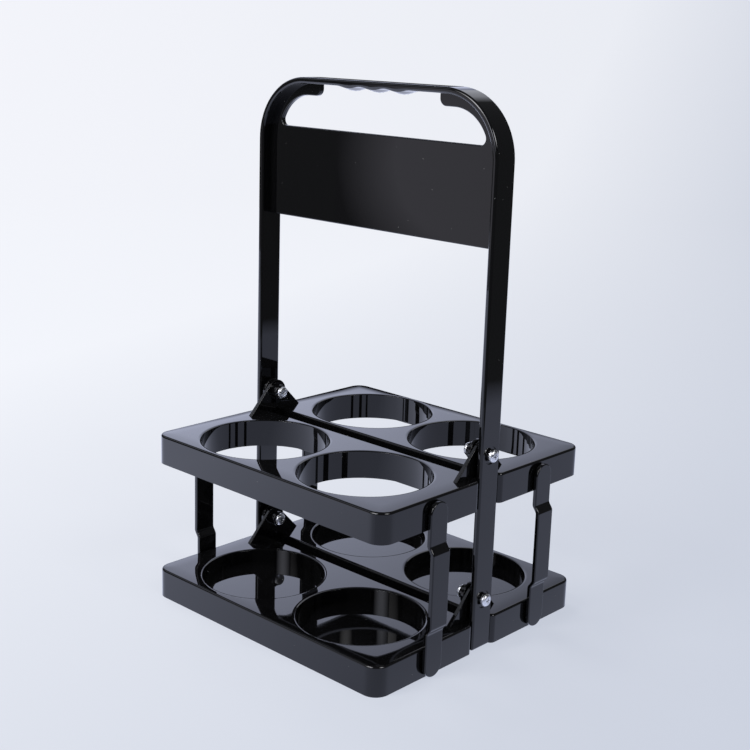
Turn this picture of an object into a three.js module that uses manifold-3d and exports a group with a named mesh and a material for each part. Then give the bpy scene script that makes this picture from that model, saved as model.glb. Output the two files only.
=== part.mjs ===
// A folding drink carrier: a handle frame that carries two levels of hinged trays.
// Millimetres, +Z up. The handle's width runs along X, the front faces -Y, and the
// origin is on the floor under the middle of the carrier.

import * as THREE from 'three';
import { mergeVertices } from 'three/addons/utils/BufferGeometryUtils.js';
import loadManifold from 'manifold-3d';

const wasm = await loadManifold();
wasm.setup();

// Handle frame: a bent strap with a thin web in its middle plane
const FRAME_HEIGHT = 354.8;
const FRAME_WIDTH = 209;
const STRAP_THICKNESS = 4.1;
const STRAP_DEPTH = 18.2;
const STRAP_EDGE = 1.2;
const BEND_RADIUS = 43;
const FOOT_CLEARANCE = 0.5;
const WEB_THICKNESS = 3.5;
const PANEL_HEIGHT = 61.5;
const OPENING_HEIGHT = 29.4;
const OPENING_MARGIN = 8.9;
const OPENING_CORNER_RADIUS = 28;
const PANEL_CORNER_RADIUS = 4;
const GUSSET_DROP = 8;
const GUSSET_END_RADIUS = 4.8;

// Grip: bumps under the bar, with a finger's groove on each side of every bump
const GRIP_LENGTH = 104;
const BUMP_COUNT = 3;
const BUMP_PITCH = 21.3;
const BUMP_DROP = 3;
const BUMP_EDGE = 2.5;

// Trays
const CARRIER_DEPTH = 199.2;
const TRAY_GAP = 10.6;
const TRAY_HEIGHT = 20.1;
const TRAY_WALL = 2.6;
const TRAY_TOP = 2.2;
const TRAY_EDGE = 1.5;
const TRAY_CORNER_RADIUS = 10;
const NOTCH_CORNER_RADIUS = 4;
const END_PROUD = 0.7;
const LEVEL_SPACING = 96.7;
const RING_BORDER = 3.95;
const RING_BRIDGE = 6.4;
const CUP_INSET = 1.2;
const CUP_FLOOR = 10.4;
const FLOOR_THICKNESS = 2.2;
const SLEEVE_WALL = 3;
const SLEEVE_RISE = 1.4;
const LEG_CLEARANCE = 0.4;

// Hinge lugs on the trays' tops
const PIN_HEIGHT = 14.1;
const LUG_THICKNESS = 3.2;
const LUG_RADIUS = 8.4;
const LUG_CLEARANCE = 0.4;
const LUG_ROOT = 25;
const BOSS_RADIUS = 5.4;
const INNER_BOSS = 3.5;
const OUTER_BOSS = 1.7;

// Two-part pivot screws
const BARREL_RADIUS = 2.5;
const BARREL_CLEARANCE = 0.3;
const BORE_RADIUS = 1.75;
const BORE_DEPTH = 11;
const SHANK_CLEARANCE = 0.25;
const SHANK_LENGTH = 9;
const HEAD_RADIUS = 4.3;
const HEAD_RIM = 1;
const POST_HEAD_HEIGHT = 3.4;
const SCREW_HEAD_HEIGHT = 2.6;
const COUNTERBORE_CLEARANCE = 1.4;
const COUNTERBORE_DEPTH = 0.8;
const HEAD_STANDOFF = 1.4;
const SEAT_GAP = 0.3;
const RECESS_LENGTH = 4.4;
const RECESS_WIDTH = 1.1;
const RECESS_DEPTH = 1.3;

// Links outside the trays' end walls
const LINK_WIDTH = 15.4;
const LINK_THICKNESS = 3;
const LINK_GAP = 0.9;
const LINK_OFFSET = 3;
const LINK_END = 19;
const LINK_TAIL = 2;
const LINK_JOG = 6;
const PEG_RADIUS = 3;
const PEG_CLEARANCE = 0.3;
const BARB_STEP = 0.4;
const BARB_LENGTH = 3.2;
const BARB_TIP_RADIUS = 2.2;
const PEG_SLOT = 1.2;

// Facets
const ROUND_SIDES = 48;
const SMALL_SIDES = 16;
const ARC_STEPS = 3;
const BEND_STEPS = 5;
const BUMP_STEPS = 10;
const CUT_MARGIN = 1;

// Places worked out from the sizes above
const legOuter = FRAME_WIDTH / 2;
const legInner = legOuter - STRAP_THICKNESS;
const barUnderside = FRAME_HEIGHT - STRAP_THICKNESS;
const barMiddle = FRAME_HEIGHT - STRAP_THICKNESS / 2;
const panelTop = barUnderside - OPENING_HEIGHT;
const panelBottom = panelTop - PANEL_HEIGHT;
const trayEnd = legOuter + END_PROUD;
const trayInner = TRAY_GAP / 2;
const trayOuter = CARRIER_DEPTH / 2;
const trayMiddle = (trayInner + trayOuter) / 2;
const pegHeight = TRAY_HEIGHT / 2;
const pinAboveTray = TRAY_HEIGHT + PIN_HEIGHT;
const ringRadius = (trayOuter - trayInner) / 2 - RING_BORDER;
const cupRadius = ringRadius - CUP_INSET;
const holeX = ringRadius + RING_BRIDGE / 2;
const outerBossEnd = legInner - LUG_CLEARANCE;
const outerLugFace = outerBossEnd - OUTER_BOSS;
const innerLugFace = outerLugFace - LUG_THICKNESS - LUG_CLEARANCE;
const innerBossEnd = innerLugFace - LUG_THICKNESS - INNER_BOSS;
const barrelHole = BARREL_RADIUS + BARREL_CLEARANCE;
const barrelEnd = innerBossEnd + SEAT_GAP;
const postSeat = legOuter - COUNTERBORE_DEPTH + HEAD_STANDOFF;
const pegHole = PEG_RADIUS + PEG_CLEARANCE;

const LEVELS = { lower: 0, upper: LEVEL_SPACING };
const SIDES = { front: -1, rear: 1 };
const ENDS = { left: -1, right: 1 };

const blackPlastic = new THREE.MeshStandardMaterial({
  name: 'black_plastic',
  color: 0x0b0b0d,
  roughness: 0.12,
  metalness: 0,
});
const screwMetal = new THREE.MeshStandardMaterial({
  name: 'screw_metal',
  color: 0xb9bcc0,
  roughness: 0.25,
  metalness: 1,
});

// Solids from three.js geometry, and back

function solid(geometry) {
  const bare = new THREE.BufferGeometry();
  bare.setAttribute('position', geometry.getAttribute('position'));
  bare.setIndex(geometry.getIndex());
  const merged = mergeVertices(bare, 1e-4);
  const corners = merged.getIndex().array;
  const triangles = [];
  for (let i = 0; i < corners.length; i += 3) {
    const [a, b, c] = corners.slice(i, i + 3);
    if (a !== b && b !== c && c !== a) {
      triangles.push(a, b, c);
    }
  }
  return new wasm.Manifold(new wasm.Mesh({
    numProp: 3,
    vertProperties: merged.getAttribute('position').array,
    triVerts: new Uint32Array(triangles),
  }));
}

function namedMesh(name, body, material) {
  const { vertProperties, triVerts } = body.getMesh();
  const geometry = new THREE.BufferGeometry();
  geometry.setAttribute('position', new THREE.BufferAttribute(vertProperties, 3));
  geometry.setIndex(new THREE.BufferAttribute(triVerts, 1));
  geometry.computeVertexNormals();
  const mesh = new THREE.Mesh(geometry, material);
  mesh.name = name;
  return mesh;
}

function joined(bodies) {
  return bodies.reduce((whole, body) => whole.add(body));
}

function without(body, cuts) {
  return cuts.reduce((rest, cut) => rest.subtract(cut), body);
}

// Shapes

function roundedShape(corners) {
  const shape = new THREE.Shape();
  const count = corners.length;
  corners.forEach(([x, y, radius], i) => {
    const corner = new THREE.Vector2(x, y);
    const before = new THREE.Vector2(...corners[(i + count - 1) % count]).sub(corner).normalize();
    const after = new THREE.Vector2(...corners[(i + 1) % count]).sub(corner).normalize();
    if (radius === 0) {
      const place = i === 0 ? 'moveTo' : 'lineTo';
      shape[place](x, y);
      return;
    }
    const halfAngle = Math.acos(before.dot(after)) / 2;
    const inward = before.clone().add(after).normalize();
    const centre = corner.clone().addScaledVector(inward, radius / Math.sin(halfAngle));
    const reach = radius / Math.tan(halfAngle);
    const start = corner.clone().addScaledVector(before, reach).sub(centre);
    const end = corner.clone().addScaledVector(after, reach).sub(centre);
    shape.absarc(centre.x, centre.y, radius, start.angle(), end.angle(), before.cross(after) > 0);
  });
  return shape;
}

function extruded(shape, depth, edge, curveSegments) {
  return new THREE.ExtrudeGeometry(shape, {
    depth: depth - 2 * edge,
    curveSegments,
    bevelEnabled: edge > 0,
    bevelSize: edge,
    bevelThickness: edge,
    bevelOffset: -edge,
    bevelSegments: ARC_STEPS,
  }).translate(0, 0, edge);
}

function prismAlongZ(shape, low, high, edge = 0) {
  return solid(extruded(shape, high - low, edge, ARC_STEPS).translate(0, 0, low));
}

function prismAcross(shape, depth, edge = 0) {
  return solid(extruded(shape, depth, edge, BEND_STEPS).translate(0, 0, -depth / 2).rotateX(Math.PI / 2));
}

function prismAlongX(shape, low, high) {
  const turn = new THREE.Matrix4().makeBasis(
    new THREE.Vector3(0, 1, 0),
    new THREE.Vector3(0, 0, 1),
    new THREE.Vector3(1, 0, 0),
  );
  return solid(extruded(shape, high - low, 0, ARC_STEPS).translate(0, 0, low).applyMatrix4(turn));
}

function cylinderAlongX(radius, from, to, y, z) {
  const geometry = new THREE.CylinderGeometry(radius, radius, Math.abs(to - from), SMALL_SIDES);
  return solid(geometry.rotateZ(Math.PI / 2).translate((from + to) / 2, y, z));
}

function cylinderAlongZ(radius, low, high, x, y) {
  const geometry = new THREE.CylinderGeometry(radius, radius, high - low, ROUND_SIDES);
  return solid(geometry.rotateX(Math.PI / 2).translate(x, y, (low + high) / 2));
}

function block(width, depth, height, x, y, z) {
  return solid(new THREE.BoxGeometry(width, depth, height).translate(x, y, z));
}

function turned(profile) {
  const points = profile.map(([radius, along]) => new THREE.Vector2(radius, along));
  return solid(new THREE.LatheGeometry(points, SMALL_SIDES));
}

// Handle frame

function strapShape() {
  const innerRadius = BEND_RADIUS - STRAP_THICKNESS;
  return roundedShape([
    [-legOuter, FOOT_CLEARANCE, 0],
    [-legInner, FOOT_CLEARANCE, 0],
    [-legInner, barUnderside, innerRadius],
    [legInner, barUnderside, innerRadius],
    [legInner, FOOT_CLEARANCE, 0],
    [legOuter, FOOT_CLEARANCE, 0],
    [legOuter, FRAME_HEIGHT, BEND_RADIUS],
    [-legOuter, FRAME_HEIGHT, BEND_RADIUS],
  ]);
}

function webShape() {
  const legMiddle = legOuter - STRAP_THICKNESS / 2;
  const middleRadius = BEND_RADIUS - STRAP_THICKNESS / 2;
  return roundedShape([
    [-legMiddle, panelBottom, 0],
    [legMiddle, panelBottom, 0],
    [legMiddle, barMiddle, middleRadius],
    [-legMiddle, barMiddle, middleRadius],
  ]);
}

// The hand opening: round upper corners that run into small fillets at the panel's top
function openingShape() {
  const gussetEdge = barUnderside - GUSSET_DROP;
  const arcX = legInner - OPENING_MARGIN - OPENING_CORNER_RADIUS;
  const arcZ = gussetEdge - OPENING_CORNER_RADIUS;
  const filletZ = panelTop + PANEL_CORNER_RADIUS;
  const reach = OPENING_CORNER_RADIUS - PANEL_CORNER_RADIUS;
  const lift = Math.max(0, filletZ - arcZ);
  const filletX = arcX + Math.sqrt(reach ** 2 - lift ** 2);
  const turn = Math.asin(lift / reach);
  const endX = GRIP_LENGTH / 2 + GUSSET_END_RADIUS;
  const endZ = gussetEdge + GUSSET_END_RADIUS;
  const quarter = Math.PI / 2;
  const shape = new THREE.Shape();
  shape.absarc(filletX, filletZ, PANEL_CORNER_RADIUS, -quarter, turn, false);
  shape.absarc(arcX, arcZ, OPENING_CORNER_RADIUS, turn, quarter, false);
  shape.absarc(endX, endZ, GUSSET_END_RADIUS, -quarter, -Math.PI, true);
  shape.lineTo(GRIP_LENGTH / 2, barMiddle);
  shape.lineTo(-GRIP_LENGTH / 2, barMiddle);
  shape.absarc(-endX, endZ, GUSSET_END_RADIUS, 0, -quarter, true);
  shape.absarc(-arcX, arcZ, OPENING_CORNER_RADIUS, quarter, Math.PI - turn, false);
  shape.absarc(-filletX, filletZ, PANEL_CORNER_RADIUS, Math.PI - turn, Math.PI + quarter, false);
  return shape;
}

function gripShape() {
  const half = (BUMP_COUNT * BUMP_PITCH) / 2;
  const shape = new THREE.Shape();
  shape.moveTo(half, barMiddle);
  shape.lineTo(-half, barMiddle);
  for (let i = 0; i <= BUMP_COUNT * BUMP_STEPS; i += 1) {
    const share = i / BUMP_STEPS;
    const drop = (BUMP_DROP * (1 - Math.cos(2 * Math.PI * share))) / 2;
    shape.lineTo(share * BUMP_PITCH - half, barUnderside - drop);
  }
  return shape;
}

// The grip's section across the bar, with its lower edges rounded for the fingers
function gripSection() {
  const half = STRAP_DEPTH / 2 - STRAP_EDGE;
  const low = barUnderside - BUMP_DROP;
  return roundedShape([
    [-half, low, BUMP_EDGE],
    [half, low, BUMP_EDGE],
    [half, barMiddle, 0],
    [-half, barMiddle, 0],
  ]);
}

function handleFrame() {
  const web = prismAcross(webShape(), WEB_THICKNESS)
    .subtract(prismAcross(openingShape(), WEB_THICKNESS + 2 * CUT_MARGIN));
  const strap = prismAcross(strapShape(), STRAP_DEPTH, STRAP_EDGE);
  const grip = prismAcross(gripShape(), STRAP_DEPTH)
    .intersect(prismAlongX(gripSection(), -legInner, legInner));
  const counterbore = HEAD_RADIUS + COUNTERBORE_CLEARANCE;
  const cuts = [];
  for (const level of Object.values(LEVELS)) {
    const pinZ = level + pinAboveTray;
    for (const end of Object.values(ENDS)) {
      const outside = end * (legOuter + CUT_MARGIN);
      cuts.push(cylinderAlongX(barrelHole, end * (legInner - CUT_MARGIN), outside, 0, pinZ));
      cuts.push(cylinderAlongX(counterbore, end * (legOuter - COUNTERBORE_DEPTH), outside, 0, pinZ));
    }
  }
  return without(joined([strap, web, grip]), cuts);
}

// Trays: one moulding, made as a rear tray with its bottom at Z = 0; a front tray is the
// same moulding turned half round

function trayShape(inset) {
  const end = trayEnd - inset;
  const notchEnd = legInner - LEG_CLEARANCE - inset;
  const notch = STRAP_DEPTH / 2 + LEG_CLEARANCE + inset;
  const inner = trayInner + inset;
  const outer = trayOuter - inset;
  const corner = TRAY_CORNER_RADIUS - inset;
  const notchCorner = NOTCH_CORNER_RADIUS - inset;
  return roundedShape([
    [-notchEnd, inner, 0],
    [notchEnd, inner, 0],
    [notchEnd, notch, 0],
    [end, notch, notchCorner],
    [end, outer, corner],
    [-end, outer, corner],
    [-end, notch, notchCorner],
    [-notchEnd, notch, 0],
  ]);
}

function lugShape() {
  const roots = [
    [LUG_ROOT, 0, 1],
    [trayInner, -TRAY_TOP, -1],
  ];
  const [outerTangent, innerTangent] = roots.map(([reach, height, way]) => {
    const drop = height - PIN_HEIGHT;
    return Math.atan2(drop, reach) + way * Math.acos(LUG_RADIUS / Math.hypot(reach, drop));
  });
  const shape = new THREE.Shape();
  shape.absarc(0, pinAboveTray, LUG_RADIUS, outerTangent, innerTangent + 2 * Math.PI, false);
  shape.lineTo(trayInner, TRAY_HEIGHT - TRAY_TOP);
  shape.lineTo(LUG_ROOT, TRAY_HEIGHT - TRAY_TOP);
  shape.lineTo(LUG_ROOT, TRAY_HEIGHT);
  return shape;
}

// A lug plate with a round boss. The lug at the right end is the inner one, whose boss carries
// the screw's head; the outer lug's boss, at the left end, keeps the plates clear of the leg
function lug(end) {
  const [face, bossEnd] = end > 0 ? [innerLugFace, innerBossEnd] : [outerLugFace, outerBossEnd];
  const middle = face - LUG_THICKNESS / 2;
  const low = end * middle - LUG_THICKNESS / 2;
  const plate = prismAlongX(lugShape(), low, low + LUG_THICKNESS);
  return plate.add(cylinderAlongX(BOSS_RADIUS, end * middle, end * bossEnd, 0, pinAboveTray));
}

function tray(radius, bores) {
  const roundBoth = prismAlongZ(trayShape(0), -2 * TRAY_EDGE, TRAY_HEIGHT, TRAY_EDGE);
  const below = block(4 * trayEnd, 4 * trayOuter, 4 * TRAY_EDGE, 0, 0, -2 * TRAY_EDGE);
  const underside = prismAlongZ(trayShape(TRAY_WALL), -CUT_MARGIN, TRAY_HEIGHT - TRAY_TOP);
  const sleeves = [-holeX, holeX].map((x) => (
    cylinderAlongZ(radius + SLEEVE_WALL, SLEEVE_RISE, TRAY_HEIGHT, x, trayMiddle)));
  const holes = [-holeX, holeX].flatMap((x) => (
    bores.map(([low, high]) => cylinderAlongZ(radius, low, high, x, trayMiddle))));
  const pegHoles = Object.values(ENDS).map((end) => (
    cylinderAlongX(pegHole, end * (trayEnd - TRAY_WALL - CUT_MARGIN), end * (trayEnd + CUT_MARGIN),
      trayMiddle, pegHeight)));
  const lugs = Object.values(ENDS).map((end) => lug(end));
  const pinHoles = Object.values(ENDS).map((end) => (
    cylinderAlongX(barrelHole, end * (innerBossEnd - CUT_MARGIN), end * legOuter, 0, pinAboveTray)));
  const shell = without(roundBoth, [below, without(underside, sleeves)]);
  return without(joined([shell, ...lugs]), [...holes, ...pegHoles, ...pinHoles]);
}

// Links, made with the lower peg's axis as origin and the outside towards +X

function linkShape() {
  const inside = LINK_GAP;
  const outside = inside + LINK_THICKNESS;
  const low = -LINK_TAIL - LINK_WIDTH / 2;
  const high = LEVEL_SPACING + LINK_WIDTH / 2;
  const jogs = [
    [LINK_END, 0],
    [LINK_END + LINK_JOG, LINK_OFFSET],
    [LEVEL_SPACING - LINK_END - LINK_JOG, LINK_OFFSET],
    [LEVEL_SPACING - LINK_END, 0],
  ];
  const inner = jogs.map(([z, shift]) => [inside + shift, z, 0]);
  const outer = jogs.map(([z, shift]) => [outside + shift, z, 0]).reverse();
  return roundedShape([
    [inside, low, 0],
    ...inner,
    [inside, high, 0],
    [outside, high, 0],
    ...outer,
    [outside, low, 0],
  ]);
}

function linkOutline() {
  const half = LINK_WIDTH / 2;
  const shape = new THREE.Shape();
  shape.absarc(0, LEVEL_SPACING, half, 0, Math.PI, false);
  shape.absarc(0, -LINK_TAIL, half, Math.PI, 2 * Math.PI, false);
  return shape;
}

// A slotted snap peg that points in through the end wall, with its barb behind the wall
function peg(z) {
  const barbStart = TRAY_WALL + LINK_GAP;
  const barbRadius = pegHole + BARB_STEP;
  const tip = barbStart + BARB_LENGTH;
  const stem = turned([
    [0, -LINK_GAP - LINK_THICKNESS / 2],
    [PEG_RADIUS, -LINK_GAP - LINK_THICKNESS / 2],
    [PEG_RADIUS, barbStart],
    [barbRadius, barbStart],
    [barbRadius, barbStart + BARB_STEP],
    [BARB_TIP_RADIUS, tip],
    [0, tip],
  ]);
  const slotDepth = tip + CUT_MARGIN;
  const slot = block(PEG_SLOT, slotDepth, 2 * barbRadius + CUT_MARGIN, 0, slotDepth / 2, 0);
  return stem.subtract(slot).rotate([0, 0, 90]).translate([0, 0, z]);
}

function link() {
  const strap = prismAcross(linkShape(), LINK_WIDTH + 2 * CUT_MARGIN);
  const outline = prismAlongX(linkOutline(), 0, LINK_GAP + LINK_OFFSET + LINK_THICKNESS + CUT_MARGIN);
  return joined([strap.intersect(outline), peg(0), peg(LEVEL_SPACING)]);
}

// Pivot screws, made with their axis along +Y, which is turned to point away from the middle

function crossRecess(top) {
  const across = block(RECESS_LENGTH, 2 * RECESS_DEPTH, RECESS_WIDTH, 0, top, 0);
  const along = block(RECESS_WIDTH, 2 * RECESS_DEPTH, RECESS_LENGTH, 0, top, 0);
  return across.add(along);
}

// Profile points of a domed head, from its rim to its crown
function dome(rim, crown) {
  const steps = 2 * ARC_STEPS;
  return Array.from({ length: steps + 1 }, (_, i) => {
    const angle = (i / steps) * (Math.PI / 2);
    return [HEAD_RADIUS * Math.cos(angle), rim + (crown - rim) * Math.sin(angle)];
  }).map(([radius, along], i) => (i === steps ? [0, along] : [radius, along]));
}

function pivotPost() {
  const seat = postSeat - barrelEnd;
  const body = turned([
    [0, BORE_DEPTH],
    [BORE_RADIUS, BORE_DEPTH],
    [BORE_RADIUS, 0],
    [BARREL_RADIUS, 0],
    [BARREL_RADIUS, seat],
    [HEAD_RADIUS, seat],
    ...dome(seat + HEAD_RIM, seat + POST_HEAD_HEIGHT),
  ]);
  return body.subtract(crossRecess(seat + POST_HEAD_HEIGHT));
}

function pivotScrew() {
  const seat = -2 * SEAT_GAP;
  const shank = BORE_RADIUS - SHANK_CLEARANCE;
  const body = turned([
    ...dome(seat - HEAD_RIM, seat - SCREW_HEAD_HEIGHT).reverse(),
    [HEAD_RADIUS, seat],
    [shank, seat],
    [shank, SHANK_LENGTH],
    [0, SHANK_LENGTH],
  ]);
  return body.subtract(crossRecess(seat - SCREW_HEAD_HEIGHT));
}

// The carrier, put together

const carrier = new THREE.Group();
carrier.name = 'drink_carrier';
carrier.add(namedMesh('handle_frame', handleFrame(), blackPlastic));

for (const [levelName, level] of Object.entries(LEVELS)) {
  const bottom = -CUT_MARGIN;
  const top = TRAY_HEIGHT + CUT_MARGIN;
  const [radius, bores] = levelName === 'upper'
    ? [ringRadius, [[bottom, top]]]
    : [cupRadius, [[bottom, CUP_FLOOR - FLOOR_THICKNESS], [CUP_FLOOR, top]]];
  for (const [sideName, side] of Object.entries(SIDES)) {
    const mesh = namedMesh(`${levelName}_tray_${sideName}`, tray(radius, bores), blackPlastic);
    mesh.position.z = level;
    mesh.rotation.z = side > 0 ? 0 : Math.PI;
    carrier.add(mesh);
  }
}

for (const [sideName, side] of Object.entries(SIDES)) {
  for (const [endName, end] of Object.entries(ENDS)) {
    const mesh = namedMesh(`link_${sideName}_${endName}`, link(), blackPlastic);
    mesh.position.set(end * trayEnd, side * trayMiddle, pegHeight);
    mesh.rotation.z = end > 0 ? 0 : Math.PI;
    carrier.add(mesh);
  }
}

for (const [levelName, level] of Object.entries(LEVELS)) {
  for (const [endName, end] of Object.entries(ENDS)) {
    const pair = new THREE.Group();
    pair.position.set(end * barrelEnd, 0, level + pinAboveTray);
    pair.rotation.z = (-end * Math.PI) / 2;
    pair.add(namedMesh(`pivot_post_${levelName}_${endName}`, pivotPost(), screwMetal));
    pair.add(namedMesh(`pivot_screw_${levelName}_${endName}`, pivotScrew(), screwMetal));
    carrier.add(pair);
  }
}

export default carrier;
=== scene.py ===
"""A folding drink carrier in gloss black plastic: mouldings, pivot screws, studio and camera."""

import math

import bmesh
import bpy
from mathutils import Matrix, Vector


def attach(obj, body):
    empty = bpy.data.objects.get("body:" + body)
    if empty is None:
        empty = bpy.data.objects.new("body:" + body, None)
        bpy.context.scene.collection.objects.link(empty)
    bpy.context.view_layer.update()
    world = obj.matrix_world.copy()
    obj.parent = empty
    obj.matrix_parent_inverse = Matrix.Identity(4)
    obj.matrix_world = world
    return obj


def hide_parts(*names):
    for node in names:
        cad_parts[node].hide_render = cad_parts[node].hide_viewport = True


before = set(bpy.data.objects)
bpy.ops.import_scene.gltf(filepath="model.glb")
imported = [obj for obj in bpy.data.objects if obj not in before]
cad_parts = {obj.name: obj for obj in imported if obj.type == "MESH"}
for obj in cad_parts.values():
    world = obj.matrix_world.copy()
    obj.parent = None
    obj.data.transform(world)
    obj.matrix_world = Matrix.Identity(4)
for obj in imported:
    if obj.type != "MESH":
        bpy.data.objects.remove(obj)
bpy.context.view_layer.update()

MM = 0.001

# Handle frame, in millimetres: a bent strap with a thin web in its middle plane
FRAME_HEIGHT = 354.8
FRAME_WIDTH = 209.0
STRAP_THICKNESS = 4.1
STRAP_DEPTH = 18.2
STRAP_EDGE = 1.6
BEND_RADIUS = 43.0
FOOT_HEIGHT = 0.5
WEB_THICKNESS = 3.5
WEB_EDGE = 0.7
PANEL_HEIGHT = 61.5
OPENING_HEIGHT = 29.4
OPENING_MARGIN = 8.9
OPENING_RADIUS = 28.0
PANEL_CORNER = 4.0
GUSSET_DROP = 8.0
GUSSET_END = 4.8

# Grip: bumps under the bar, which stand lower in the middle of its depth than at its edges
GRIP_LENGTH = 104.0
BUMP_COUNT = 3
BUMP_PITCH = 21.3
BUMP_DROP = 3.0
BUMP_EDGE_DROP = 1.3
BUMP_STEPS = 14
BUMP_SLICES = 8

# Trays
CARRIER_DEPTH = 199.2
TRAY_GAP = 10.6
TRAY_HEIGHT = 20.1
TRAY_WALL = 2.6
TRAY_TOP = 2.2
TRAY_EDGE = 1.5
TRAY_CORNER = 10.0
NOTCH_CORNER = 4.0
END_PROUD = 0.7
LEVEL_SPACING = 96.7
RING_BORDER = 3.95
RING_BRIDGE = 6.4
RIM_REACH = 2.2
RIM_DROP = 0.6
CROWN_WIDTH = 12.0
CROWN_DROP = 0.3
CROWN_STEPS = 6
CUP_INSET = 1.2
CUP_FLOOR = 10.4
FLOOR_THICKNESS = 2.2
FLOOR_EMBED = 1.2
SLEEVE_WALL = 3.0
SLEEVE_RISE = 1.4
LEG_CLEARANCE = 0.4

# Hinge lugs on the trays' tops, and the two-part pivot screws through them
PIN_HEIGHT = 14.1
LUG_THICKNESS = 3.2
LUG_RADIUS = 8.4
LUG_CLEARANCE = 0.4
LUG_ROOT = 25.0
LUG_EDGE = 0.5
LUG_EMBED = 1.5
LUG_DRAFT = 1.0
BOSS_RADIUS = 5.4
INNER_BOSS = 3.5
OUTER_BOSS = 1.7
BARREL_RADIUS = 2.5
BARREL_HOLE = 2.8
SHANK_RADIUS = 1.5
SEAT_GAP = 0.3
HEAD_RADIUS = 4.3
HEAD_RIM = 1.0
HEAD_CHAMFER = 0.15
HEAD_ROUNDNESS = 0.45
HEAD_HEIGHT = {"post": 3.4, "screw": 2.6}
HEAD_STANDOFF = 1.4
RECESS_LENGTH = 5.0
RECESS_WIDTH = 1.2
RECESS_DEPTH = 1.5
RECESS_TAPER = 0.45
COUNTERBORE_RADIUS = 5.7
COUNTERBORE_DEPTH = 0.8
COUNTERBORE_LIP = 0.35

# Links outside the trays' end walls
LINK_WIDTH = 15.4
LINK_THICKNESS = 3.0
LINK_GAP = 0.9
LINK_OFFSET = 3.0
LINK_END = 19.0
LINK_TAIL = 2.0
LINK_JOG = 6.0
LINK_EDGE = 0.8
PEG_RADIUS = 3.0
PEG_HOLE = 3.3
BARB_RADIUS = 3.7
BARB_LENGTH = 3.2
BARB_TIP = 2.2
PEG_SLOT = 1.2

# Places worked out from the sizes above
LEG_OUTER = FRAME_WIDTH / 2
LEG_INNER = LEG_OUTER - STRAP_THICKNESS
BAR_UNDERSIDE = FRAME_HEIGHT - STRAP_THICKNESS
BAR_MIDDLE = FRAME_HEIGHT - STRAP_THICKNESS / 2
PANEL_TOP = BAR_UNDERSIDE - OPENING_HEIGHT
PANEL_BOTTOM = PANEL_TOP - PANEL_HEIGHT
TRAY_END = LEG_OUTER + END_PROUD
TRAY_INNER = TRAY_GAP / 2
TRAY_OUTER = CARRIER_DEPTH / 2
TRAY_MIDDLE = (TRAY_INNER + TRAY_OUTER) / 2
RING_RADIUS = (TRAY_OUTER - TRAY_INNER) / 2 - RING_BORDER
CUP_RADIUS = RING_RADIUS - CUP_INSET
HOLE_X = RING_RADIUS + RING_BRIDGE / 2
PIN_ABOVE_TRAY = TRAY_HEIGHT + PIN_HEIGHT
PEG_HEIGHT = TRAY_HEIGHT / 2
OUTER_BOSS_END = LEG_INNER - LUG_CLEARANCE
OUTER_LUG = OUTER_BOSS_END - OUTER_BOSS
INNER_LUG = OUTER_LUG - LUG_THICKNESS - LUG_CLEARANCE
INNER_BOSS_END = INNER_LUG - LUG_THICKNESS - INNER_BOSS
BARREL_END = INNER_BOSS_END + SEAT_GAP
SCREW_SEAT = INNER_BOSS_END - SEAT_GAP
POST_SEAT = LEG_OUTER - COUNTERBORE_DEPTH + HEAD_STANDOFF

LEVELS = {"lower": 0.0, "upper": LEVEL_SPACING}
SIDES = {"front": -1, "rear": 1}
ENDS = {"left": -1, "right": 1}

# Steps of the round shapes, and the slack of cuts and tests
BEND_STEPS = 24
CORNER_STEPS = 12
HOLE_STEPS = 112
SMALL_STEPS = 40
EDGE_STEPS = 4
TOP_EDGE_STEPS = 6
CUT_MARGIN = 1.0
NEAR = 0.001
CUT_NEAR = 0.00001
CREASE = math.radians(50)

# Finishes
PLASTIC_BLACK = (0.0015, 0.0015, 0.0017, 1)
PLASTIC_IOR = 1.5
GLOSS_ROUGHNESS = (0.012, 0.05)
SMEAR_SCALE = 38.0
SMEAR_DETAIL = 5.0
SMEAR_RANGE = (0.4, 0.8)
RIPPLE_SCALE = 55.0
RIPPLE_DETAIL = 1.0
RIPPLE_STRENGTH = 0.012
RIPPLE_DEPTH = 0.001
DUST_GREY = (0.3, 0.3, 0.29, 1)
DUST_DENSITY = 140.0
DUST_SIZE = (0.014, 0.025)
DUST_ROUGHNESS = 0.7
PLATING = (0.84, 0.85, 0.86, 1)
PLATING_ROUGHNESS = (0.28, 0.44)
GRAIN_SCALE = 900.0
GRAIN_DETAIL = 3.0
PAPER_ROUGHNESS = 0.8

# Camera: place in metres, turns in degrees
CAMERA_PLACE = (0.581418, -0.622075, 0.384680)
CAMERA_YAW = 42.427
CAMERA_PITCH = -13.436
CAMERA_ROLL = 1.927
CAMERA_LENS = 62.978
CAMERA_SENSOR = 36.0
CAMERA_SHIFT = (-0.014776, -0.037352)
CAMERA_NEAR = 0.01

# Studio, in metres: across is to the camera's right and along is away from it
BOWL_RADIUS = 3.4
BOWL_CURVE = 1.2
BOWL_HEIGHT = 2.6
SHEET_ACROSS = (-1.5, 1.1)
SHEET_ALONG = (-0.65, 2.0)
SHEET_BELOW = 0.0005
FLOOR_SHADE = 0.075
ROOM_COLOUR = (0.84, 0.87, 0.93, 1)
ROOM_STRENGTH = 0.1
ROOM_TONE = (*(ROOM_STRENGTH * value for value in ROOM_COLOUR[:3]), 1)
DARK = (0, 0, 0, 1)

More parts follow.
